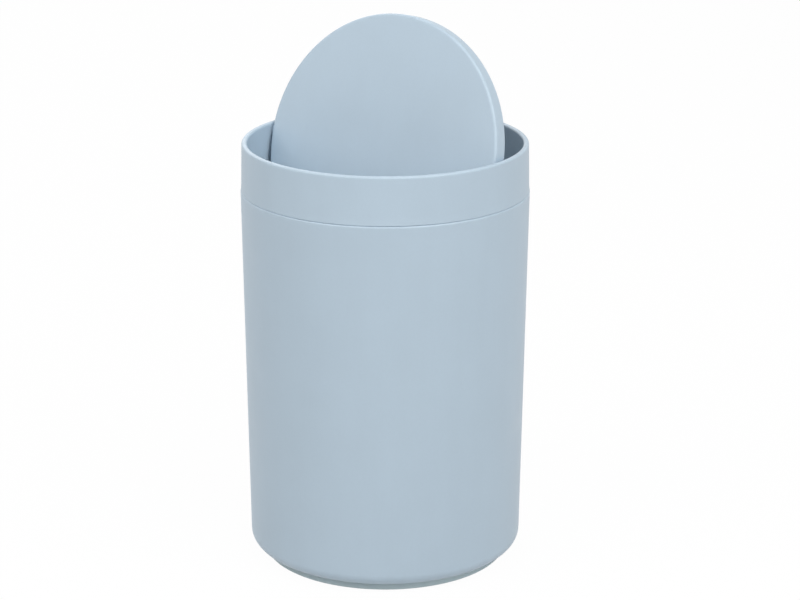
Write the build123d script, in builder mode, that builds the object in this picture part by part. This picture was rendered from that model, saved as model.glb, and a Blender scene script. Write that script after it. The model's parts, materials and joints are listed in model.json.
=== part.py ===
"""Countertop trash can: a tapered bucket, a lift-off collar and a round flap that swings in it.

Millimetres. +Z is up, and the origin is on the floor at the centre of the foot ring.
The flap swings about an axis along X, and is built standing open, as it rests.
"""

from build123d import *
import os
from math import cos, radians, sin, tan

# Overall sizes
total_height = 200.0  # floor to the top of the collar's rim
body_radius = 67.0  # outside of the bucket at its mouth
collar_height = 22.3  # rim down to the seam

# Bucket
body_wall = 2.2
body_draft = 0.9  # degrees, narrower towards the bottom
floor_thickness = 2.6
bottom_rounding = 5.9  # outside, where the wall turns under
inner_rounding = 4.6
mouth_rounding = 1.0  # outer edge of the mouth, just under the seam
mouth_chamfer = 0.4
dish_depth = 1.5  # the underside rises inside the foot ring
dish_rounding = 1.0
gate_radius = 5.0  # shallow dimple around the moulding gate
gate_depth = 0.5

# Foot ring
foot_height = 3.8  # floor to the bucket's underside
foot_width = 4.6
foot_inset = 6.7  # from the bucket's side, at its underside, in to the ring
foot_rounding = 0.8
tongue_width = 1.6  # pressed up into a groove in the bucket's underside
tongue_height = 1.0
tongue_clearance = 0.1

# Collar
collar_wall = 2.6
rim_inset = 0.75  # how much narrower the rim is than the bucket's mouth
rim_rounding = 1.1
flare_height = 4.5  # soft flare above the seam
flare_width = 0.35
collar_edge_rounding = 0.25
collar_step_inset = 0.05  # the collar's lower edge stands this far inside the bucket's mouth
plug_depth = 9.0  # skirt that drops into the bucket's mouth
plug_wall = 1.8
plug_clearance = 0.3
plug_chamfer = 0.6
plug_shoulder = 2.5  # height over which the inside narrows to the plug

# Flap
open_angle = 73.3  # from level, top face towards the front
flap_gap = 0.85  # between the flap and the inside of the collar
flap_thickness = 7.9
axis_depth = 4.5  # top face down to the swing axis; the level flap is flush with the rim
flap_draft = 0.3  # the side wall widens by this towards the underside
flap_face = 1.6
flap_side_wall = 2.2
face_rounding = 1.0
back_rounding = 1.3
back_thickness = 1.8
back_ledge = 0.6
back_clearance = 0.1
rib_thickness = 1.2
rib_count = 12

# Balance plate, shut inside the flap
balance_radius = 35.0
balance_thickness = 1.6
balance_recess = 0.8  # sunk into the back plate
balance_clearance = 0.15
hold_ring_radius = 16.0  # ring and spokes under the flap's face hold the plate down
hold_spoke_count = 6

# Pivot
pin_radius = 1.5
pin_length = 12.0
pin_chamfer = 0.3
pin_clearance = 0.05  # running fit, in the collar's sockets and in the flap
socket_depth = 2.1  # blind, from the face of its pad
socket_end_clearance = 0.2
pad_radius = 3.2  # round pad about each socket, that centres the flap
pad_height = 0.5
cradle_wall = 1.9
cradle_room = 2.2  # behind the pin, where the back plate's stop fits
stop_clearance = 0.15

# Heights and radii worked out from the sizes above
seam_height = total_height - collar_height
pivot_height = total_height - axis_depth
slope = tan(radians(body_draft))
underside_radius = body_radius - slope * (seam_height - foot_height)
body_inner_radius = body_radius - body_wall
foot_radius = underside_radius - foot_inset
foot_inner_radius = foot_radius - foot_width
tongue_radius = foot_radius - foot_width / 2
dish_radius = foot_inner_radius - dish_depth
floor_height = foot_height + floor_thickness

rim_radius = body_radius - rim_inset
collar_edge_radius = body_radius - collar_step_inset
collar_inner_radius = rim_radius - collar_wall
plug_radius = body_inner_radius - plug_clearance
plug_inner_radius = plug_radius - plug_wall
plug_bottom = seam_height - plug_depth

flap_radius = collar_inner_radius - flap_gap
flap_face_radius = flap_radius - flap_draft
axis_to_back = flap_thickness - axis_depth
back_inside = back_thickness - axis_to_back  # inner face of the back plate, above the axis
face_inside = axis_depth - flap_face
back_seat_radius = flap_face_radius - flap_side_wall + back_ledge
cavity_radius = back_seat_radius - back_ledge
ring_rib_radius = balance_radius + balance_clearance + rib_thickness
balance_bottom = back_inside - balance_recess
hold_bottom = balance_bottom + balance_thickness + balance_clearance

pad_face = collar_inner_radius - pad_height
socket_end = pad_face + socket_depth
pin_tip = socket_end - socket_end_clearance
pin_root = pin_tip - pin_length
cradle_root = pin_root - cradle_room
slot_end = cavity_radius + flap_side_wall / 2
cradle_half_width = pin_radius + pin_clearance + cradle_wall

# The flap's own frame: z along its face's normal, x along the swing axis
flap_normal = Vector(0, -sin(radians(open_angle)), cos(radians(open_angle)))
flap_plane = Plane(origin=(0, 0, pivot_height), x_dir=(1, 0, 0), z_dir=flap_normal)
flap_section = Plane(origin=flap_plane.origin, x_dir=(1, 0, 0), z_dir=-flap_plane.y_dir)
flap_axis = Axis(flap_plane.origin, flap_normal)


def across(side):
    """Plane square to the swing axis, looking out along it on one side, the flap's normal upwards."""
    return Plane(origin=flap_plane.origin, x_dir=flap_plane.y_dir * side, z_dir=(side, 0, 0))


def corner(sketch, radius, height):
    """The sketch's corner nearest to a radius and a height."""
    return sketch.vertices().sort_by_distance((radius, height))[0]


# Bucket: one turned profile, outside up to the mouth and back down inside
with BuildPart() as body:
    with BuildSketch(Plane.XZ) as body_profile:
        with BuildLine():
            Polyline(
                (0, foot_height + dish_depth),
                (dish_radius, foot_height + dish_depth),
                (foot_inner_radius, foot_height),
                (underside_radius, foot_height),
                (body_radius, seam_height),
                (body_inner_radius, seam_height),
                (body_inner_radius - slope * (seam_height - floor_height), floor_height),
                (foot_inner_radius, floor_height),
                (dish_radius, floor_height + dish_depth),
                (0, floor_height + dish_depth),
                close=True,
            )
        make_face()
        fillet(corner(body_profile, underside_radius, foot_height), bottom_rounding)
        fillet(corner(body_profile, underside_radius, floor_height), inner_rounding)
        fillet(corner(body_profile, body_radius, seam_height), mouth_rounding)
        chamfer(corner(body_profile, body_inner_radius, seam_height), mouth_chamfer)
        for level in (foot_height, floor_height):
            fillet(corner(body_profile, foot_inner_radius, level), dish_rounding)
            fillet(corner(body_profile, dish_radius, level + dish_depth), dish_rounding)
    revolve(axis=Axis.Z)
    with BuildSketch(Plane.XY.offset(foot_height)):
        Circle(tongue_radius + tongue_width / 2)
        Circle(tongue_radius - tongue_width / 2, mode=Mode.SUBTRACT)
    extrude(amount=tongue_height + tongue_clearance, mode=Mode.SUBTRACT)
    with BuildSketch(Plane.XY.offset(foot_height + dish_depth)):
        Circle(gate_radius)
    extrude(amount=gate_depth, mode=Mode.SUBTRACT)
body.part.label = "body"

# Foot ring: rounded tread below, tongue above
with BuildPart() as foot_ring:
    with BuildSketch(Plane.XZ) as foot_profile:
        with BuildLine():
            Polyline(
                (foot_inner_radius, 0),
                (foot_radius, 0),
                (foot_radius, foot_height),
                (foot_inner_radius, foot_height),
                close=True,
            )
        make_face()
        fillet(foot_profile.vertices().group_by(Axis.Y)[0], foot_rounding)
    revolve(axis=Axis.Z)
    with BuildSketch(Plane.XY.offset(foot_height)):
        Circle(tongue_radius + tongue_width / 2 - tongue_clearance)
        Circle(tongue_radius - tongue_width / 2 + tongue_clearance, mode=Mode.SUBTRACT)
    extrude(amount=tongue_height)
foot_ring.part.label = "foot_ring"

# Collar: bull-nosed rim, soft flare at the seam, plug skirt inside the bucket's mouth
with BuildPart() as collar:
    with BuildSketch(Plane.XZ) as collar_profile:
        with BuildLine():
            wall = Line(
                (rim_radius, total_height),
                (collar_edge_radius - flare_width, seam_height + flare_height),
            )
            TangentArc(wall @ 1, (collar_edge_radius, seam_height), tangent=wall % 1)
            Polyline(
                (collar_edge_radius, seam_height),
                (plug_radius, seam_height),
                (plug_radius - slope * plug_depth, plug_bottom),
                (plug_inner_radius, plug_bottom),
                (plug_inner_radius, seam_height + plug_shoulder),
                (collar_inner_radius, seam_height + 2 * plug_shoulder),
                (collar_inner_radius, total_height),
                (rim_radius, total_height),
            )
        make_face()
        fillet(corner(collar_profile, rim_radius, total_height), rim_rounding)
        fillet(corner(collar_profile, collar_inner_radius, total_height), rim_rounding)
        fillet(corner(collar_profile, collar_edge_radius, seam_height), collar_edge_rounding)
        chamfer(corner(collar_profile, plug_radius, plug_bottom), plug_chamfer)
    revolve(axis=Axis.Z)
    for side in (-1, 1):
        with BuildSketch(across(side).offset(pad_face)):
            Circle(pad_radius)
        extrude(amount=pad_height + collar_wall / 2)
        with BuildSketch(across(side).offset(pad_face)):
            Circle(pin_radius + pin_clearance)
        extrude(amount=socket_depth, mode=Mode.SUBTRACT)
collar.part.label = "collar"

# Flap shell: face, side wall, ribs, and a cradle for each pin that the back plate closes
with BuildPart() as flap_shell:
    with BuildSketch(flap_section) as shell_profile:
        with BuildLine():
            Polyline(
                (0, axis_depth),
                (flap_face_radius, axis_depth),
                (flap_radius, -axis_to_back),
                (back_seat_radius, -axis_to_back),
                (back_seat_radius, back_inside),
                (cavity_radius, back_inside),
                (cavity_radius, face_inside),
                (0, face_inside),
                close=True,
            )
        make_face()
        fillet(corner(shell_profile, flap_face_radius, axis_depth), face_rounding)
        fillet(corner(shell_profile, flap_radius, -axis_to_back), back_rounding)
    revolve(axis=flap_axis)
    with BuildSketch(flap_plane.offset(back_inside)):
        Circle(ring_rib_radius)
        Circle(ring_rib_radius - rib_thickness, mode=Mode.SUBTRACT)
        with PolarLocations((ring_rib_radius + cavity_radius) / 2, rib_count, start_angle=180 / rib_count):
            Rectangle(cavity_radius - ring_rib_radius + rib_thickness, rib_thickness)
        for side in (-1, 1):
            with Locations((side * (cradle_root + cavity_radius) / 2, 0)):
                Rectangle(cavity_radius - cradle_root + rib_thickness, 2 * cradle_half_width)
    extrude(amount=face_inside - back_inside)
    with BuildSketch(flap_plane.offset(hold_bottom)):
        Circle(hold_ring_radius)
        Circle(hold_ring_radius - rib_thickness, mode=Mode.SUBTRACT)
        with PolarLocations((hold_ring_radius + ring_rib_radius - rib_thickness) / 2, hold_spoke_count):
            Rectangle(ring_rib_radius - hold_ring_radius, rib_thickness)
    extrude(amount=face_inside - hold_bottom)
    for side in (-1, 1):
        with BuildSketch(across(side).offset(cradle_root)):
            Circle(pin_radius + pin_clearance)
            with Locations((0, back_inside / 2)):
                Rectangle(2 * (pin_radius + pin_clearance), -back_inside)
        extrude(amount=slot_end - cradle_root, mode=Mode.SUBTRACT)
        with BuildSketch(across(side).offset(slot_end)):
            Circle(pin_radius + pin_clearance)
        extrude(amount=flap_side_wall, mode=Mode.SUBTRACT)
flap_shell.part.label = "flap_shell"

# Flap back: closing plate with a seat for the balance plate and a stop behind each pin
with BuildPart() as flap_back:
    with BuildSketch(flap_plane.offset(-axis_to_back)):
        Circle(back_seat_radius - back_clearance)
    extrude(amount=back_thickness)
    with BuildSketch(flap_plane.offset(balance_bottom)):
        Circle(balance_radius + balance_clearance)
    extrude(amount=balance_recess, mode=Mode.SUBTRACT)
    for side in (-1, 1):
        with BuildSketch(across(side).offset(cradle_root + stop_clearance)):
            with Locations((0, back_inside / 2)):
                Rectangle(2 * (pin_radius - stop_clearance), -back_inside)
        extrude(amount=cradle_room - 2 * stop_clearance)
flap_back.part.label = "flap_back"

# Balance plate: steel disc that keeps the flap's weight under its axis
with BuildPart() as balance_plate:
    with BuildSketch(flap_plane.offset(balance_bottom)):
        Circle(balance_radius)
    extrude(amount=balance_thickness)
balance_plate.part.label = "balance_plate"


def pivot_pin(side, name):
    """Steel pin from its cradle in the flap into the collar's socket on one side."""
    with BuildPart() as pin:
        with BuildSketch(across(side).offset(pin_root)):
            Circle(pin_radius)
        extrude(amount=pin_length)
        chamfer(pin.edges().filter_by(GeomType.CIRCLE), pin_chamfer)
    pin.part.label = name
    return pin


pivot_pin_left = pivot_pin(-1, "pivot_pin_left")
pivot_pin_right = pivot_pin(1, "pivot_pin_right")

pieces = [body, foot_ring, collar, flap_shell, flap_back, balance_plate, pivot_pin_left, pivot_pin_right]

os.makedirs("parts", exist_ok=True)
for piece in pieces:
    export_step(piece.part, f"parts/{piece.part.label}.step")
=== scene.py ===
"""Countertop trash can with a swing lid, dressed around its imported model.

Metres. +Z is up, and the origin is on the floor at the centre of the foot ring. Each moulding
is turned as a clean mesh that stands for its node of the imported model, and the steel parts
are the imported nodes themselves. The flap's pieces are made level, then turned open.
"""

import json
from math import cos, pi, radians, sin, tan

import bmesh
import bpy
from bpy.props import FloatProperty, FloatVectorProperty, IntProperty, PointerProperty
from mathutils import Matrix, Vector


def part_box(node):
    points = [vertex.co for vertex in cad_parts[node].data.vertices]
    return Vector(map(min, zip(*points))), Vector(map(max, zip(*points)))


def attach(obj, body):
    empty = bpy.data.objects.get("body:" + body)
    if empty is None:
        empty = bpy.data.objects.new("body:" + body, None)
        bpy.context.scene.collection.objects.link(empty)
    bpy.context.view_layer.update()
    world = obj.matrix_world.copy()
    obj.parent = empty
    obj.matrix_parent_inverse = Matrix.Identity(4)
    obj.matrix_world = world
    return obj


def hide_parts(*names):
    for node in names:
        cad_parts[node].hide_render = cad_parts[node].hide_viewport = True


bl_info = {
    "name": "Countertop Trash Can",
    "version": (1, 0, 0),
    "blender": (4, 5, 0),
    "location": "View3D > Sidebar > Trash Can",
    "description": "Makes a countertop trash can with a swing lid, and a studio to show it in",
    "category": "Object",
}

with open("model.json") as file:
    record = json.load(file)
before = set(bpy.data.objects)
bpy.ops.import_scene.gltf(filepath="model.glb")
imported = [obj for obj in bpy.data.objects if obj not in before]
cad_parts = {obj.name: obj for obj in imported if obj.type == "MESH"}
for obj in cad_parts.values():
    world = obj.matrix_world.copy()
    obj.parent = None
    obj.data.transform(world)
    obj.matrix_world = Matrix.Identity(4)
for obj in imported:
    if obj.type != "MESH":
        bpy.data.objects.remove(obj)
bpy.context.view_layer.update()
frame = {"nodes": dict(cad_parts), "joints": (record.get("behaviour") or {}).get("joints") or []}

TURN = 2 * pi
FACETS = 192  # round each turned piece
ROD_FACETS = 64  # round each rod
ARC_STEPS = 8  # in each rounding of an outline
GUARD = 0.0012  # from a rounding to the ring that keeps the surface beside it flat
HARD_EDGE = radians(30)
SWING = next(joint for joint in frame["joints"] if joint["name"] == "flap_swing")

# Patterns in the finishes, as the size of a blob
CLOUD = 0.03
FLOW = 0.012
SPECKLE = 0.0011
SMEAR = 0.02
RUB = 0.005
STEEL_LINE = 0.0005

# What draws a pattern out: each axis of the place is scaled by this
FLOW_STRETCH = (1.0, 1.0, 0.12)
STEEL_STRETCH = (0.05, 1.0, 1.0)

# Heights of the bumps
GRAIN_DEPTH = 0.000006
WAVE_DEPTH = 0.00006
STEEL_DEPTH = 0.000002

# Where a pattern starts and where it is full, from 0 to 1 of its noise
TONE_SPAN = (0.3, 0.7)
SMEAR_SPAN = (0.5, 0.72)
RUB_SPAN = (0.3, 0.7)
DUST_SPAN = (0.45, 0.75)

# Shares of clouds, flow lines and speckle in the plastic's mottling
CLOUD_SHARE, FLOW_SHARE, SPECKLE_SHARE = 0.45, 0.3, 0.25

# How much lighter or darker a patch is than its finish's colour
CHALK = 1.25  # where plastic is rubbed
RUBBER_SHADES = (0.94, 1.06)
STEEL_SHADES = (0.85, 1.15)
DUST_COVER = 0.2  # how far dust hides the rubber's colour

# Roughness, and how much each pattern adds to it or takes from it
CLOUD_MIDDLE = 0.5  # noise at which clouds change nothing
CLOUD_DULLS = 0.08
SMEAR_SHINES = 0.05
RUB_SHINES = 0.2
RUBBER_ROUGHNESS = 0.7
DUST_DULLS = 0.15
STEEL_ROUGHNESS = 0.3
LINE_DULLS = 0.12
PATCH_DULLS = 0.1

PLASTIC_IOR = 1.49
RUBBER_IOR = 1.52

# Studio
WHITE = (1.0, 1.0, 1.0)
FLOOR_TONE = 0.6  # where it lights the can
PAPER_TONE = 0.9  # where it shows
FLOOR_GLOW = 0.97  # share of plain white where it shows
LAMP_DISTANCE = 1.6
LAMPS = {  # degrees round from the camera, degrees up, metres across, watts
    "key": (35, 35, 1.4, 11.2),
    "right_high": (60, 60, 1.4, 5.7),
    "left_high": (-45, 45, 1.4, 9.4),
    "left_low": (-72, 25, 1.0, 2.0),
    "behind": (-160, 35, 1.4, 6.0),
}


# ---------------------------------------------------------------- sizes and colours


def length(name, description, default):
    """A length in metres that the user may change."""
    return FloatProperty(
        name=name, description=description, default=default, unit="LENGTH", precision=5
    )


def angle(name, description, degrees):
    """An angle that the user may change, given in degrees."""
    return FloatProperty(
        name=name, description=description, default=radians(degrees), unit="ROTATION"
    )


def share(name, description, default):
    """A share from 0 to 1 that the user may change."""
    return FloatProperty(
        name=name, description=description, default=default, min=0, max=1, subtype="FACTOR"
    )


def count(name, description, default):
    """A whole number that the user may change."""
    return IntProperty(name=name, description=description, default=default, min=0)


def number(name, description, default):
    """A number without a unit that the user may change."""
    return FloatProperty(name=name, description=description, default=default)


def colour(name, description, default):
    """A linear colour that the user may change."""
    return FloatVectorProperty(
        name=name, description=description, default=default, min=0, max=1, size=3, subtype="COLOR"
    )


class BucketSizes(bpy.types.PropertyGroup):
    """Sizes of the bucket, the tapered lower moulding."""

    mouth: length("Mouth radius", "Outside of the bucket just under the seam", 0.067)
    seam: length("Seam height", "Floor to the mouth, where the collar sits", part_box("body")[1].z)
    underside: length("Underside height", "Floor to the underside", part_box("body")[0].z)
    wall: length("Wall", "Thickness of the wall", 0.0022)
    draft: angle("Draft", "How much the wall narrows towards the floor", 0.9)
    base: length("Base", "Thickness of the base", 0.0026)
    heel: length("Heel rounding", "Where the outside turns under", 0.0059)
    corner: length("Corner rounding", "Where the inside meets the base", 0.0046)
    lip: length("Lip rounding", "Outer edge of the mouth", 0.001)
    bevel: length("Lip bevel", "Inner edge of the mouth", 0.0004)
    dish: length("Dish", "How far the base rises inside the foot ring", 0.0015)
    dish_edge: length("Dish rounding", "Edges of the dished base", 0.001)
    gate: length("Gate radius", "Shallow dimple round the moulding gate", 0.005)
    gate_depth: length("Gate depth", "Depth of the dimple", 0.0005)


class FootSizes(bpy.types.PropertyGroup):
    """Sizes of the soft ring that the can stands on."""

    radius: length("Radius", "Outside of the ring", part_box("foot_ring")[1].x)
    width: length("Width", "Across the ring's tread", 0.0046)
    tread: length("Tread rounding", "Edges of the tread", 0.0003)
    shoulder: length("Shoulder rounding", "Outer edge that meets the bucket", 0.0008)
    lean: length("Lean", "How much narrower the ring is where it meets the bucket", 0.0008)
    tongue: length("Tongue width", "Tongue that is pressed into the bucket", 0.0016)
    tongue_height: length("Tongue height", "How far the tongue goes into the bucket", 0.001)
    fit: length("Fit", "Room on each side of the tongue", 0.0001)


class CollarSizes(bpy.types.PropertyGroup):
    """Sizes of the lift-off collar that carries the flap."""

    rim: length("Rim radius", "Outside of the rim", 0.06625)
    top: length("Rim height", "Floor to the top of the rim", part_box("collar")[1].z)
    wall: length("Wall", "Thickness of the wall at the rim", 0.0026)
    rounding: length("Rim rounding", "Both edges of the rim", 0.0011)
    hem: length("Lower edge radius", "Outside of the lower edge, on the seam", 0.0668)
    flare: length("Flare", "How far the lower edge turns out", 0.0002)
    flare_height: length("Flare height", "Over which the wall turns out", 0.0045)
    edge: length("Edge rounding", "The lower edge", 0.00025)
    plug: length("Plug radius", "Outside of the skirt inside the bucket", 0.0645)
    plug_wall: length("Plug wall", "Thickness of the skirt", 0.0018)
    plug_bottom: length("Plug height", "Floor to the end of the skirt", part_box("collar")[0].z)
    plug_bevel: length("Plug bevel", "Lead-in at the end of the skirt", 0.0006)
    shoulder: length("Shoulder", "Height over which the inside narrows to the skirt", 0.0025)
    pad: length("Pad radius", "Round pad about each pin's socket", 0.0032)
    pad_height: length("Pad height", "How far a pad stands in from the wall", 0.0005)
    socket: length("Socket depth", "Depth of the pin's blind socket", 0.0021)


class FlapSizes(bpy.types.PropertyGroup):
    """Sizes of the flap, given as it lies level with its face up."""

    radius: length("Radius", "The flap's widest edge, on the underside", 0.0628)
    draft: length("Draft", "How much narrower the face is than the underside", 0.0003)
    above: length("Above the axis", "Swing axis up to the face", 0.0045)
    below: length("Below the axis", "Swing axis down to the underside", 0.0034)
    face: length("Face", "Thickness of the face", 0.0016)
    side: length("Side wall", "Thickness of the side wall at the face", 0.0022)
    face_edge: length("Face rounding", "Edge of the face", 0.0012)
    back_edge: length("Back rounding", "Edge of the underside", 0.0013)
    back: length("Back plate", "Thickness of the plate that closes the flap", 0.0018)
    ledge: length("Ledge", "Width of the ledge that the back plate sits on", 0.0006)
    fit: length("Fit", "Room round the back plate", 0.0001)
    plate: length("Recess radius", "Recess in the back plate for the balance plate", 0.03515)
    plate_depth: length("Recess depth", "Depth of that recess", 0.0008)
    bore: length("Bore radius", "Hole for each pivot pin", 0.00155)
    rib: length("Rib", "Thickness of the ribs and rings inside", 0.0012)
    ribs: count("Ribs", "Ribs from the plate's ring to the side wall", 12)
    hold: length("Hold ring radius", "Outside of the ring that holds the balance plate down", 0.016)
    hold_end: length("Hold ring end", "Swing axis down to the end of that ring", 0.00065)
    hold_ribs: count("Hold ribs", "Ribs that carry the hold ring", 6)
    cradle: length("Cradle width", "Across the block that seats each pin", 0.0069)
    cradle_root: length("Cradle root", "Middle of the flap to each cradle's inner end", 0.05085)
    stop: length("Stop width", "Across the back plate's stop behind each pin", 0.0027)
    stop_length: length("Stop length", "Length of each stop, in from the pin", 0.0019)
    stop_gap: length("Stop gap", "Inner end of each cradle to the stop", 0.00015)
    open: angle("Opening angle", "From level to where the flap rests", 73.3)


class Finish(bpy.types.PropertyGroup):
    """Colours and surface of the plastic, the rubber and the steel."""

    plastic: colour("Plastic", "Colour of the moulded plastic", (0.455, 0.56, 0.65))
    rubber: colour("Rubber", "Colour of the foot ring", (0.56, 0.67, 0.7))
    steel: colour("Steel", "Colour of the pins and the balance plate", (0.55, 0.55, 0.56))
    roughness: share("Roughness", "Roughness of the plastic's mould texture", 0.45)
    mottle: share("Mottle", "How much the plastic's colour varies", 0.02)
    wear: share("Edge wear", "How far the rubbed edges turn paler and smoother", 0.12)
    grain: length("Grain", "Size of the mould texture's grain", 0.0004)


class Studio(bpy.types.PropertyGroup):
    """Camera, lights and floor."""

    azimuth: angle("Camera azimuth", "Round the can, from in front of the swing axis", 35.2)
    pitch: angle("Camera pitch", "How far the camera looks down", 17.7)
    distance: length("Camera distance", "From the point that it looks at", 1.212)
    aim: length("Aim height", "Height of the point that the camera looks at", 0.1226)
    lens: FloatProperty(name="Lens", description="Focal length", default=116.0, unit="CAMERA")
    shift: number("Shift", "Sideways shift of the frame", 0.0185)
    floor: length("Floor", "Width of the floor", 12.0)
    power: number("Light", "Strength of all the lamps together", 1.0)
    fill: number("Fill", "Strength of the light from all around", 0.35)
    seed: count("Pattern seed", "Starts the finishes' patterns elsewhere", 3)


GROUPS = {
    "bin_bucket": BucketSizes,
    "bin_foot": FootSizes,
    "bin_collar": CollarSizes,
    "bin_flap": FlapSizes,
    "bin_finish": Finish,
    "bin_studio": Studio,
}


# ---------------------------------------------------------------- turned meshes


def signed_area(outline):
    """Area inside the outline, negative where it runs clockwise."""
    pairs = zip(outline, outline[1:] + outline[:1])
    return sum(a[0] * b[1] - b[0] * a[1] for a, b in pairs) / 2


def rounded(outline):
    """Points of an outline of (radius, height) or (radius, height, rounding), each with its wear.

    Each rounding becomes an arc. A guard point stands beside it on each straight run that has
    room, and the convex arcs are the edges that hands and shelves rub.
    """
    way = signed_area(outline)
    points = []
    for index, (radius, height, *rounding) in enumerate(outline):
        here = Vector((radius, height))
        if not rounding:
            points.append((here, 0.0))
            continue
        to_last = Vector(outline[index - 1][:2]) - here
        to_next = Vector(outline[(index + 1) % len(outline)][:2]) - here
        back, ahead = to_last.normalized(), to_next.normalized()
        half = back.angle(ahead) / 2
        reach = rounding[0] / tan(half)
        centre = here + (back + ahead).normalized() * (rounding[0] / sin(half))
        first, last = here + back * reach - centre, here + ahead * reach - centre
        worn = 1.0 if ahead.cross(back) * way > 0 else 0.0
        if to_last.length > reach + 2 * GUARD:
            points.append((here + back * (reach + GUARD), 0.0))
        for step in range(ARC_STEPS + 1):
            spoke = first.slerp(last, step / ARC_STEPS).normalized()
            points.append((centre + spoke * rounding[0], worn))
        if to_next.length > reach + 2 * GUARD:
            points.append((here + ahead * (reach + GUARD), 0.0))
    return points


def piece_from(name, shape):
    """A new object from a finished bmesh."""
    mesh = bpy.data.meshes.new(name)
    shape.to_mesh(mesh)
    shape.free()
    piece = bpy.data.objects.new(name, mesh)
    bpy.context.scene.collection.objects.link(piece)
    return piece


def turned(name, outline):
    """A new object: the closed outline turned about Z, each point at radius 0 as one vertex."""
    shape = bmesh.new()
    wear = shape.verts.layers.float.new("worn")
    rings = []
    for (radius, height), worn in rounded(outline):
        size = FACETS if radius > 0 else 1
        angles = [TURN * step / size for step in range(size)]
        ring = [shape.verts.new((radius * cos(a), radius * sin(a), height)) for a in angles]
        for vertex in ring:
            vertex[wear] = worn
        rings.append(ring)
    for one, other in zip(rings, rings[1:] + rings[:1]):
        for step in range(FACETS):
            ahead = (step + 1) % FACETS
            corners = (one[step % len(one)], one[ahead % len(one)])
            corners += (other[ahead % len(other)], other[step % len(other)])
            corners = list(dict.fromkeys(corners))  # a point at radius 0 comes twice
            if len(corners) > 2:
                shape.faces.new(corners)
    bmesh.ops.recalc_face_normals(shape, faces=shape.faces)
    return piece_from(name, shape)


def rod(radius, start, end):
    """A new object: a plain cylinder along X from start to end, with a flat facet on top."""
    shape = bmesh.new()
    middle = Matrix.Translation(((start + end) / 2, 0, 0))
    along = Matrix.Rotation(pi / 2, 4, "Y") @ Matrix.Rotation(pi / ROD_FACETS, 4, "Z")
    sizes = {"radius1": radius, "radius2": radius, "depth": abs(end - start)}
    bmesh.ops.create_cone(shape, cap_ends=True, segments=ROD_FACETS, matrix=middle @ along, **sizes)
    return piece_from("rod", shape)


def bar(start, end, width, low, high, turn=0.0):
    """A new object: a square bar along X from start to end, turned about Z."""
    shape = bmesh.new()
    middle = Matrix.Translation(((start + end) / 2, 0, (low + high) / 2))
    size = Matrix.Diagonal((abs(end - start), width, high - low, 1))
    bmesh.ops.create_cube(shape, size=1.0, matrix=Matrix.Rotation(turn, 4, "Z") @ middle @ size)
    return piece_from("bar", shape)


def combine(piece, tool, operation):
    """Joins the tool to the piece, or cuts it away, and removes the tool."""
    change = piece.modifiers.new("combine", "BOOLEAN")
    change.operation = operation
    change.solver = "EXACT"
    change.object = tool
    bpy.context.view_layer.update()
    result = piece.evaluated_get(bpy.context.evaluated_depsgraph_get())
    piece.modifiers.remove(change)
    old, piece.data = piece.data, bpy.data.meshes.new_from_object(result)
    piece.data.name = old.name
    bpy.data.meshes.remove(old)
    bpy.data.meshes.remove(tool.data)  # the tool's object goes with its mesh


def dress(piece, body, nodes, material):
    """Shades the piece, seats it on its body in place of its nodes and gives it its finish."""
    piece.data.shade_smooth()
    piece.data.set_sharp_from_angle(angle=HARD_EDGE)
    normals = piece.modifiers.new("even shading", "WEIGHTED_NORMAL")
    normals.keep_sharp = True
    piece.data.materials.clear()
    piece.data.materials.append(material)
    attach(piece, body)
    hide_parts(*nodes)


def open_flap(piece, flap):
    """Turns a level piece of the flap to where the flap rests, about the swing axis."""
    swing = Matrix.Translation(SWING["pos_m"]) @ Matrix.Rotation(flap.open, 4, SWING["axis"])
    piece.data.transform(swing)


# ---------------------------------------------------------------- node trees


class Wire:
    """An output socket. Arithmetic on it adds Math nodes."""

    def __init__(self, recipe, socket):
        self.recipe = recipe
        self.socket = socket

    def maths(self, operation, first, second):
        """A Math node's result for two wires or numbers."""
        return self.recipe.add("Math", {"operation": operation}, {0: first, 1: second})

    def __add__(self, other):
        return self.maths("ADD", self, other)

    def __sub__(self, other):
        return self.maths("SUBTRACT", self, other)

    def __rsub__(self, other):
        return self.maths("SUBTRACT", other, self)

    def __mul__(self, other):
        return self.maths("MULTIPLY", self, other)

    __radd__ = __add__
    __rmul__ = __mul__


class Recipe:
    """The node tree of one material or of the surroundings."""

    def __init__(self, owner):
        owner.use_nodes = True
        self.tree = owner.node_tree
        self.tree.nodes.clear()

    def add(self, kind, settings, sockets, output=0):
        """A new node, its settings made first and then its sockets. Gives one of its outputs."""
        node = self.tree.nodes.new("ShaderNode" + kind)
        for key, value in settings.items():
            setattr(node, key, value)
        for key, value in sockets.items():
            if isinstance(value, Wire):
                self.tree.links.new(value.socket, node.inputs[key])
            else:
                node.inputs[key].default_value = value
        return Wire(self, node.outputs[output]) if node.outputs else None

    def noise(self, place, size, detail=2.0):
        """Soft noise from 0 to 1 in blobs of about the given size."""
        return self.add("TexNoise", {}, {"Vector": place, "Scale": 1 / size, "Detail": detail})

    def stretched(self, place, factors):
        """The place with each axis scaled, so that a pattern on it is drawn out."""
        return self.add("VectorMath", {"operation": "MULTIPLY"}, {0: place, 1: factors})

    def ramp(self, value, low, high):
        """The value taken smoothly from 0 at low to 1 at high."""
        sockets = {"Value": value, "From Min": low, "From Max": high}
        return self.add("MapRange", {"interpolation_type": "SMOOTHSTEP"}, sockets)

    def between(self, factor, first, second):
        """A colour between two colours."""
        return self.add("Mix", {"data_type": "RGBA"}, {0: factor, 6: first, 7: second}, output=2)

    def bump(self, height):
        """A normal for a height in metres."""
        return self.add("Bump", {}, {"Height": height, "Strength": 1.0, "Distance": 1.0})


def shade(tint, times=1.0):
    """A linear colour made darker or lighter, with its alpha."""
    return (*(min(channel * times, 1.0) for channel in tint), 1.0)


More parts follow.
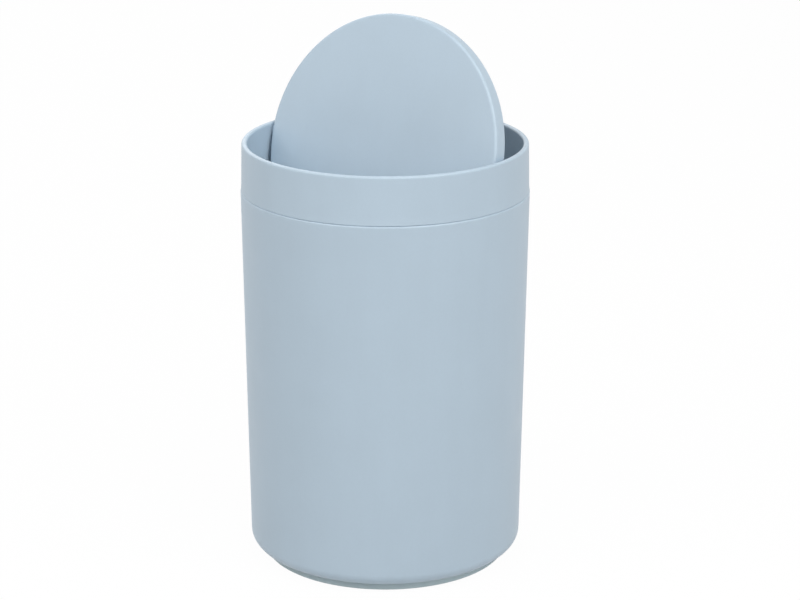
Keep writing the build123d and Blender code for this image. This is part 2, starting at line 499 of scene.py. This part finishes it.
def surface(recipe, tint, roughness, height, **constants):
    """Ends a material's tree in one shader. The constants are the same all over the piece."""
    sockets = {"Base Color": tint, "Roughness": roughness, "Normal": recipe.bump(height)}
    shader = recipe.add("BsdfPrincipled", {}, {**sockets, **constants})
    recipe.add("OutputMaterial", {}, {"Surface": shader})


# ---------------------------------------------------------------- finishes


def moulded_plastic(name, finish, seed):
    """Satin plastic with a fine mould grain, faint clouds and flow lines, and rubbed edges."""
    material = bpy.data.materials.new(name)
    recipe = Recipe(material)
    place = recipe.add("TexCoord", {}, {}, output="Object")
    place = recipe.add("VectorMath", {"operation": "ADD"}, {0: place, 1: (seed, seed, 0.0)})
    clouds = recipe.noise(place, CLOUD)
    flow = recipe.noise(recipe.stretched(place, FLOW_STRETCH), FLOW, detail=3.0)
    speckle = recipe.noise(place, SPECKLE)
    grain = recipe.noise(place, finish.grain)
    smears = recipe.ramp(recipe.noise(place, SMEAR, detail=4.0), *SMEAR_SPAN)
    worn = recipe.add("Attribute", {"attribute_name": "worn"}, {}, output="Fac")
    rubbed = worn * recipe.ramp(recipe.noise(place, RUB), *RUB_SPAN) * finish.wear

    tone = clouds * CLOUD_SHARE + flow * FLOW_SHARE + speckle * SPECKLE_SHARE
    dark, light = (shade(finish.plastic, 1 + change) for change in (-finish.mottle, finish.mottle))
    tinted = recipe.between(recipe.ramp(tone, *TONE_SPAN), dark, light)
    tinted = recipe.between(rubbed, tinted, shade(finish.plastic, CHALK))
    roughness = finish.roughness + (clouds - CLOUD_MIDDLE) * CLOUD_DULLS
    roughness = roughness - smears * SMEAR_SHINES - rubbed * RUB_SHINES
    height = grain * GRAIN_DEPTH + speckle * GRAIN_DEPTH + clouds * WAVE_DEPTH
    surface(recipe, tinted, roughness, height, IOR=PLASTIC_IOR)
    return material


def foot_rubber(finish):
    """Dull soft rubber with a fine grain and dusty patches."""
    material = bpy.data.materials.new("foot_rubber")
    recipe = Recipe(material)
    place = recipe.add("TexCoord", {}, {}, output="Object")
    clouds = recipe.noise(place, CLOUD)
    dust = recipe.ramp(recipe.noise(place, RUB, detail=4.0), *DUST_SPAN)
    grain = recipe.noise(place, finish.grain)
    dark, light = (shade(finish.rubber, times) for times in RUBBER_SHADES)
    tinted = recipe.between(clouds, dark, light)
    tinted = recipe.between(dust * DUST_COVER, tinted, shade(finish.plastic))
    roughness = RUBBER_ROUGHNESS + dust * DUST_DULLS
    height = grain * GRAIN_DEPTH + dust * GRAIN_DEPTH
    surface(recipe, tinted, roughness, height, IOR=RUBBER_IOR)
    return material


def brushed_steel(finish):
    """Plain steel, drawn and rolled, with fine lines along X and duller patches."""
    material = bpy.data.materials.new("plain_steel")
    recipe = Recipe(material)
    place = recipe.add("TexCoord", {}, {}, output="Object")
    lines = recipe.noise(recipe.stretched(place, STEEL_STRETCH), STEEL_LINE, detail=3.0)
    patches = recipe.noise(place, RUB)
    dark, light = (shade(finish.steel, times) for times in STEEL_SHADES)
    tinted = recipe.between(lines, dark, light)
    roughness = STEEL_ROUGHNESS + lines * LINE_DULLS + patches * PATCH_DULLS
    surface(recipe, tinted, roughness, lines * STEEL_DEPTH, Metallic=1.0)
    return material


def seen(recipe):
    """1 on the rays that show the surroundings, straight or in a reflection, and 0 on the rest."""
    camera = recipe.add("LightPath", {}, {}, output="Is Camera Ray")
    glossy = recipe.add("LightPath", {}, {}, output="Is Glossy Ray")
    clear = recipe.add("LightPath", {}, {}, output="Is Transmission Ray")
    return recipe.ramp(camera + glossy + clear, 0.0, 1.0)


def white_floor():
    """Floor that lights the can as grey paper and shows as white, with a faint shadow.

    It is clear from below, so that the underside can be seen.
    """
    material = bpy.data.materials.new("studio_floor")
    recipe = Recipe(material)
    grey = recipe.add("BsdfDiffuse", {}, {"Color": shade(WHITE, FLOOR_TONE)})
    paper = recipe.add("BsdfDiffuse", {}, {"Color": shade(WHITE, PAPER_TONE)})
    glow = recipe.add("Emission", {}, {"Color": shade(WHITE), "Strength": 1.0})
    shown = recipe.add("MixShader", {}, {0: FLOOR_GLOW, 1: paper, 2: glow})
    above = recipe.add("MixShader", {}, {0: seen(recipe), 1: grey, 2: shown})
    below = recipe.add("NewGeometry", {}, {}, output="Backfacing")
    clear = recipe.add("BsdfTransparent", {}, {})
    sheet = recipe.add("MixShader", {}, {0: below, 1: above, 2: clear})
    recipe.add("OutputMaterial", {}, {"Surface": sheet})
    return material


def surroundings(world, fill):
    """White surroundings: full white where they show, and the fill's strength where they light."""
    recipe = Recipe(world)
    soft = recipe.add("Background", {}, {"Color": shade(WHITE), "Strength": fill})
    plain = recipe.add("Background", {}, {"Color": shade(WHITE), "Strength": 1.0})
    light = recipe.add("MixShader", {}, {0: seen(recipe), 1: soft, 2: plain})
    recipe.add("OutputWorld", {}, {"Surface": light})


# ---------------------------------------------------------------- outlines


def bucket_outline(bucket, foot):
    """The bucket's section, from the middle of the underside up the outside and down the inside."""
    slope = tan(bucket.draft)
    under, inside = bucket.underside, bucket.underside + bucket.base
    heel = bucket.mouth - slope * (bucket.seam - under)
    lining = bucket.mouth - bucket.wall
    ring_inner = foot.radius - foot.width
    middle = foot.radius - foot.width / 2
    groove = (middle - foot.tongue / 2, middle + foot.tongue / 2)
    groove_top = under + foot.tongue_height + foot.fit
    dished = ring_inner - bucket.dish
    return [
        (0, under + bucket.dish + bucket.gate_depth),
        (bucket.gate, under + bucket.dish + bucket.gate_depth),
        (bucket.gate, under + bucket.dish),
        (dished, under + bucket.dish, bucket.dish_edge),
        (ring_inner, under, bucket.dish_edge),
        (groove[0], under),
        (groove[0], groove_top),
        (groove[1], groove_top),
        (groove[1], under),
        (heel, under, bucket.heel),
        (bucket.mouth, bucket.seam, bucket.lip),
        (lining + bucket.bevel, bucket.seam),
        (lining, bucket.seam - bucket.bevel),
        (lining - slope * (bucket.seam - inside), inside, bucket.corner),
        (ring_inner, inside, bucket.dish_edge),
        (dished, inside + bucket.dish, bucket.dish_edge),
        (0, inside + bucket.dish),
    ]


def foot_outline(bucket, foot):
    """The foot ring's section, its tongue up in the bucket's groove."""
    inner = foot.radius - foot.width
    middle = foot.radius - foot.width / 2
    half = foot.tongue / 2 - foot.fit
    top = bucket.underside
    return [
        (inner, 0, foot.tread),
        (foot.radius, 0, foot.tread),
        (foot.radius - foot.lean, top, foot.shoulder),
        (middle + half, top),
        (middle + half, top + foot.tongue_height),
        (middle - half, top + foot.tongue_height),
        (middle - half, top),
        (inner, top),
    ]


def collar_outline(bucket, collar):
    """The collar's section, from the skirt's end up its outside, over the rim and down inside."""
    slope = tan(bucket.draft)
    seam = bucket.seam
    lower = collar.hem - collar.flare
    flare_top = seam + collar.flare_height
    lean = (collar.rim - lower) / (collar.top - flare_top)
    bore, skirt_bore = collar.rim - collar.wall, collar.plug - collar.plug_wall
    skirt_end = collar.plug - slope * (seam - collar.plug_bottom)
    turn_out = []
    for step in range(1, ARC_STEPS):
        down = step / ARC_STEPS
        straight = lower - lean * down * collar.flare_height
        bend = (collar.flare + lean * collar.flare_height) * down**2
        turn_out.insert(0, (straight + bend, flare_top - down * collar.flare_height))
    return [
        (skirt_bore, collar.plug_bottom),
        (skirt_end - collar.plug_bevel, collar.plug_bottom),
        (skirt_end, collar.plug_bottom + collar.plug_bevel),
        (collar.plug, seam),
        (collar.hem, seam, collar.edge),
        *turn_out,
        (lower, flare_top),
        (collar.rim, collar.top, collar.rounding),
        (bore, collar.top, collar.rounding),
        (bore, seam + 2 * collar.shoulder),
        (skirt_bore, seam + collar.shoulder),
    ]


def flap_outline(flap):
    """The level flap shell's section, from its inside and the two rings there to the face."""
    inside = flap.above - flap.face
    ledge = flap.back - flap.below
    cavity = flap.radius - flap.draft - flap.side
    seat = cavity + flap.ledge
    return [
        (0, inside),
        (flap.hold - flap.rib, inside),
        (flap.hold - flap.rib, -flap.hold_end),
        (flap.hold, -flap.hold_end),
        (flap.hold, inside),
        (flap.plate, inside),
        (flap.plate, ledge + flap.fit),
        (flap.plate + flap.rib, ledge + flap.fit),
        (flap.plate + flap.rib, inside),
        (cavity, inside),
        (cavity, ledge),
        (seat, ledge),
        (seat, -flap.below),
        (flap.radius, -flap.below, flap.back_edge),
        (flap.radius - flap.draft, flap.above, flap.face_edge),
        (0, flap.above),
    ]


def back_outline(flap):
    """The level back plate's section, with the recess for the balance plate."""
    edge = flap.radius - flap.draft - flap.side + flap.ledge - flap.fit
    top = flap.back - flap.below
    return [
        (0, -flap.below),
        (edge, -flap.below),
        (edge, top),
        (flap.plate, top),
        (flap.plate, top - flap.plate_depth),
        (0, top - flap.plate_depth),
    ]


def flap_ribs(flap):
    """The level flap's ribs and pin cradles, each sunk a little into what it grows from."""
    low = flap.back - flap.below + 2 * flap.fit
    high = flap.above - flap.face / 2
    wall = flap.radius - flap.draft - flap.side + flap.ledge / 2
    outer, inner = flap.plate + flap.rib / 2, flap.hold - flap.rib / 2
    parts = []
    for step in range(flap.ribs):
        turn = TURN * (step + 0.5) / flap.ribs
        parts.append(bar(outer, wall, flap.rib, low, high, turn))
    for step in range(flap.hold_ribs):
        turn = TURN * step / flap.hold_ribs
        parts.append(bar(inner, outer, flap.rib, flap.fit - flap.hold_end, high, turn))
    for side in (-1, 1):
        parts.append(bar(side * flap.cradle_root, side * wall, flap.cradle, low, high))
    return parts


# ---------------------------------------------------------------- views of the can


def looking_from(azimuth, height):
    """Direction from the can towards something at an azimuth and a height above the horizon."""
    return Vector((sin(azimuth) * cos(height), -cos(azimuth) * cos(height), sin(height)))


def facing(away):
    """Rotation of a lamp or camera that stands that way from the can and looks at it."""
    return (-away).to_track_quat("-Z", "Y").to_euler()


# ---------------------------------------------------------------- operators


class MakeBucket(bpy.types.Operator):
    """Turn the bucket and give it its plastic"""

    bl_idname = "trash_can.bucket"
    bl_label = "Bucket"

    def execute(self, context):
        scene = context.scene
        piece = turned("bucket", bucket_outline(scene.bin_bucket, scene.bin_foot))
        plastic = moulded_plastic("bucket_plastic", scene.bin_finish, scene.bin_studio.seed)
        dress(piece, "bin", ["body"], plastic)
        return {"FINISHED"}


class MakeFoot(bpy.types.Operator):
    """Turn the soft ring that the can stands on"""

    bl_idname = "trash_can.foot"
    bl_label = "Foot ring"

    def execute(self, context):
        scene = context.scene
        piece = turned("foot_tread", foot_outline(scene.bin_bucket, scene.bin_foot))
        dress(piece, "bin", ["foot_ring"], foot_rubber(scene.bin_finish))
        return {"FINISHED"}


class MakeCollar(bpy.types.Operator):
    """Turn the collar, with a pad and a blind socket for each pivot pin"""

    bl_idname = "trash_can.collar"
    bl_label = "Collar"

    def execute(self, context):
        scene = context.scene
        collar, flap = scene.bin_collar, scene.bin_flap
        piece = turned("swing_collar", collar_outline(scene.bin_bucket, collar))
        bore = collar.rim - collar.wall
        face = bore - collar.pad_height
        socket_start, socket_end = face - collar.pad_height, face + collar.socket
        axis = Matrix.Translation(SWING["pos_m"])
        for side in (-1, 1):
            pad = rod(collar.pad, side * face, side * (bore + collar.wall / 2))
            socket = rod(flap.bore, side * socket_start, side * socket_end)
            for tool, operation in ((pad, "UNION"), (socket, "DIFFERENCE")):
                tool.data.transform(axis)
                combine(piece, tool, operation)
        plastic = moulded_plastic("collar_plastic", scene.bin_finish, scene.bin_studio.seed + 1)
        dress(piece, "collar", ["collar"], plastic)
        return {"FINISHED"}


class MakeFlap(bpy.types.Operator):
    """Turn the flap's ribbed shell and back plate, with a cradle and a stop for each pivot pin"""

    bl_idname = "trash_can.flap"
    bl_label = "Flap"

    def execute(self, context):
        scene = context.scene
        flap = scene.bin_flap
        shell = turned("flap_cover", flap_outline(flap))
        plate = turned("flap_plate", back_outline(flap))
        for rib in flap_ribs(flap):
            combine(shell, rib, "UNION")
        top = flap.back - flap.below
        slot_end = flap.radius - flap.draft - flap.side / 2
        slot_width = 2 * flap.bore - flap.fit
        bore_start, bore_end = flap.cradle_root - flap.side, flap.radius + flap.side
        stop_start = flap.cradle_root + flap.stop_gap
        stop_end = stop_start + flap.stop_length
        sunk = top - 2 * flap.fit
        for side in (-1, 1):
            bore = rod(flap.bore, side * bore_start, side * bore_end)
            slot = bar(side * bore_start, side * slot_end, slot_width, top - flap.fit, 0)
            stop = bar(side * stop_start, side * stop_end, flap.stop, sunk, 0)
            combine(shell, bore, "DIFFERENCE")
            combine(shell, slot, "DIFFERENCE")
            combine(plate, stop, "UNION")
        plastic = moulded_plastic("flap_plastic", scene.bin_finish, scene.bin_studio.seed + 2)
        for piece, node in ((shell, "flap_shell"), (plate, "flap_back")):
            open_flap(piece, flap)
            dress(piece, "flap", [node], plastic)
        return {"FINISHED"}


class FinishSteel(bpy.types.Operator):
    """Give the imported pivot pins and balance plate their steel"""

    bl_idname = "trash_can.steel"
    bl_label = "Steel parts"

    def execute(self, context):
        steel = brushed_steel(context.scene.bin_finish)
        for name in ("pivot_pin_left", "pivot_pin_right", "balance_plate"):
            node = frame["nodes"][name]
            node.data.materials.clear()
            node.data.materials.append(steel)
        return {"FINISHED"}


class MakeStage(bpy.types.Operator):
    """Set up the white floor, the soft light and the camera"""

    bl_idname = "trash_can.stage"
    bl_label = "Studio"

    def execute(self, context):
        scene, studio = context.scene, context.scene.bin_studio
        self.lay_floor(scene, studio)
        scene.world = bpy.data.worlds.new("studio")
        surroundings(scene.world, studio.fill)
        self.hang_lamps(scene, studio)
        self.place_camera(scene, studio)
        scene.view_settings.view_transform = "Standard"
        return {"FINISHED"}

    def lay_floor(self, scene, studio):
        """One wide square under the can."""
        half = studio.floor / 2
        corners = [(-half, -half, 0), (half, -half, 0), (half, half, 0), (-half, half, 0)]
        mesh = bpy.data.meshes.new("studio_floor")
        mesh.from_pydata(corners, [], [(0, 1, 2, 3)])
        mesh.materials.append(white_floor())
        floor = bpy.data.objects.new("studio_floor", mesh)
        scene.collection.objects.link(floor)

    def hang_lamps(self, scene, studio):
        """Round soft lamps, each at its angle from the camera's azimuth."""
        aim = Vector((0, 0, studio.aim))
        for name, (side, height, size, watts) in LAMPS.items():
            lamp = bpy.data.lights.new(name, "AREA")
            lamp.shape = "DISK"
            lamp.size = size
            lamp.energy = watts * studio.power
            away = looking_from(studio.azimuth + radians(side), radians(height))
            hung = bpy.data.objects.new(name, lamp)
            hung.location = aim + away * LAMP_DISTANCE
            hung.rotation_euler = facing(away)
            scene.collection.objects.link(hung)

    def place_camera(self, scene, studio):
        """A long lens that looks down a little at the can."""
        data = bpy.data.cameras.new("camera")
        data.lens = studio.lens
        data.shift_x = studio.shift
        camera = bpy.data.objects.new("camera", data)
        away = looking_from(studio.azimuth, studio.pitch)
        camera.location = Vector((0, 0, studio.aim)) + away * studio.distance
        camera.rotation_euler = facing(away)
        scene.collection.objects.link(camera)
        scene.camera = camera


class TrashCanPanel(bpy.types.Panel):
    """Sizes, finishes and steps of the trash can"""

    bl_idname = "VIEW3D_PT_trash_can"
    bl_label = "Trash Can"
    bl_space_type = "VIEW_3D"
    bl_region_type = "UI"
    bl_category = "Trash Can"

    def draw(self, context):
        for name, group in GROUPS.items():
            box = self.layout.box()
            box.label(text=group.bl_rna.name)
            for key in group.__annotations__:
                box.prop(getattr(context.scene, name), key)
        for step in STEPS:
            self.layout.operator(step.bl_idname)


STEPS = (MakeBucket, MakeFoot, MakeCollar, MakeFlap, FinishSteel, MakeStage)


def register():
    """Adds the classes to Blender, and a set of each group's values to every scene."""
    for kind in (*GROUPS.values(), *STEPS, TrashCanPanel):
        bpy.utils.register_class(kind)
    for name, group in GROUPS.items():
        setattr(bpy.types.Scene, name, PointerProperty(type=group))


def unregister():
    """Takes away what register added."""
    for name in GROUPS:
        delattr(bpy.types.Scene, name)
    for kind in (TrashCanPanel, *STEPS, *GROUPS.values()):
        bpy.utils.unregister_class(kind)


def main():
    """Makes the whole can and its studio."""
    register()
    bpy.ops.trash_can.bucket()
    bpy.ops.trash_can.foot()
    bpy.ops.trash_can.collar()
    bpy.ops.trash_can.flap()
    bpy.ops.trash_can.steel()
    bpy.ops.trash_can.stage()


if __name__ == "__main__":
    main()
